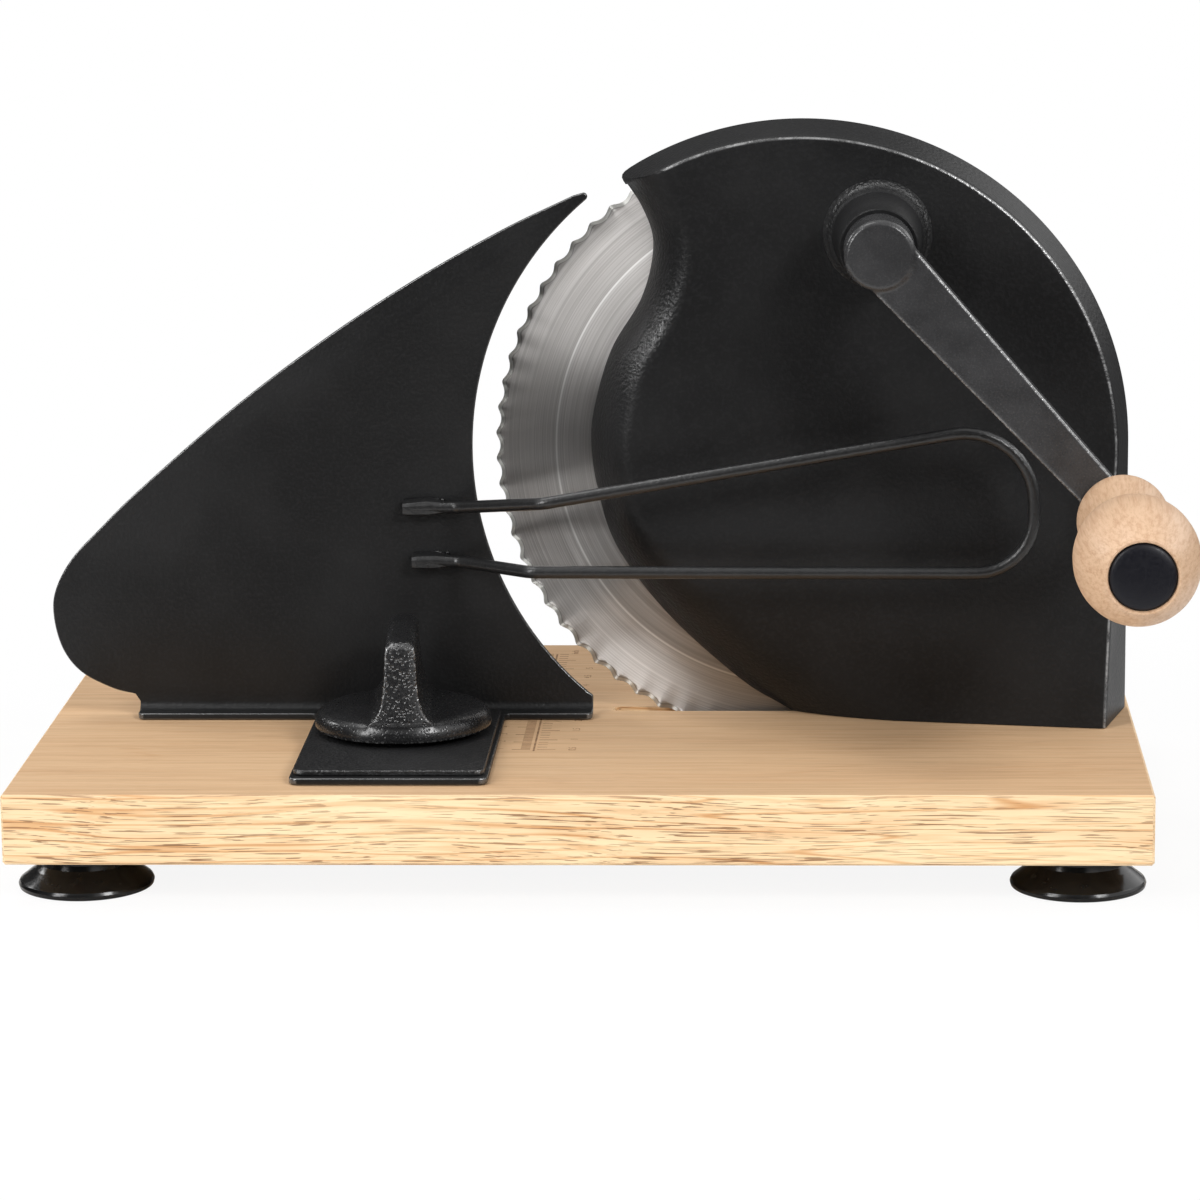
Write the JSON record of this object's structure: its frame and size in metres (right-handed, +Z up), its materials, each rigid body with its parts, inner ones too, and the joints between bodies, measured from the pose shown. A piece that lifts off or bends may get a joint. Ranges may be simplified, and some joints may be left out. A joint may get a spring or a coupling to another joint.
{
  "type": "bread slicer",
  "caption": "Hand-cranked bread slicer: toothed round blade behind a cast housing on a wooden board, with sliding fence, wire guard, clamp knob and suction feet.",
  "frame": {"origin": "on the table under the middle of the whole slicer, crank at rest", "axes": "+X runs right along the board as seen from the crank's side, +Y runs back from the crank's side through the blade, +Z is up"},
  "size_m": [0.3614, 0.2538, 0.2273],
  "materials": {
    "beech_board": "satin",
    "beech_knob": "satin",
    "black_cast": "satin",
    "black_hammered": "gloss",
    "black_sheet": "satin",
    "blade_steel": "satin",
    "plated_steel": "satin",
    "bronze": "satin",
    "gear_plastic": "matte",
    "rubber": "gloss",
    "cap_plastic": "matte"
  },
  "bodies": {
    "base": {"base_board": "beech_board", "housing": "black_cast", "blade_axle": "plated_steel", "blade_thrust_washer": "plated_steel", "crank_bush": "bronze", "crank_thrust_washer": "plated_steel", "centre_screw": "plated_steel", "centre_washer": "plated_steel", "clamp_bolt": "plated_steel", "clamp_washer": "plated_steel", "housing_screw_1": "plated_steel", "housing_screw_2": "plated_steel", "housing_screw_3": "plated_steel", "foot_front_left": "rubber", "foot_front_right": "rubber", "foot_back_left": "rubber", "foot_back_right": "rubber", "foot_screw_front_left": "plated_steel", "foot_screw_front_right": "plated_steel", "foot_screw_back_left": "plated_steel", "foot_screw_back_right": "plated_steel"},
    "crank": {"crank_arm": "black_hammered", "crank_shaft": "plated_steel", "pinion": "plated_steel", "knob_axle": "plated_steel"},
    "knob": {"crank_knob": "beech_knob", "knob_cap": "cap_plastic"},
    "blade_unit": {"blade": "blade_steel", "hub_disc": "blade_steel", "blade_gear": "gear_plastic", "blade_bush": "bronze", "blade_rivet_1": "plated_steel", "blade_rivet_2": "plated_steel", "blade_rivet_3": "plated_steel"},
    "fence": {"fence_plate": "black_sheet", "tongue_doubler": "black_sheet", "wire_guard": "black_sheet"},
    "clamp": {"clamp_knob": "black_hammered"}
  },
  "joints": [
    {"name": "crank_turn", "type": "hinge", "parent": "base", "child": "crank", "pos_m": [0.08668, 0.0049, 0.19231], "axis": [0, 1, 0], "continuous": true},
    {"name": "blade_spin", "type": "hinge", "parent": "base", "child": "blade_unit", "pos_m": [0.0627, 0.0304, 0.1223], "axis": [0, 1, 0], "continuous": true},
    {"name": "knob_spin", "type": "hinge", "parent": "crank", "child": "knob", "pos_m": [0.1614, -0.0364, 0.11077], "axis": [0, 1, 0], "continuous": true},
    {"name": "fence_slide", "type": "slide", "parent": "base", "child": "fence", "axis": [0, -1, 0], "range_m": [-0.007, 0.006]},
    {"name": "clamp_turn", "type": "hinge", "parent": "base", "child": "clamp", "pos_m": [-0.0637, -0.0141, 0.0398], "axis": [0, 0, 1], "range_deg": [0, 180]}
  ],
  "couplings": [
    {"joint": "blade_spin", "follows": "crank_turn", "ratio": -0.37037}
  ]
}
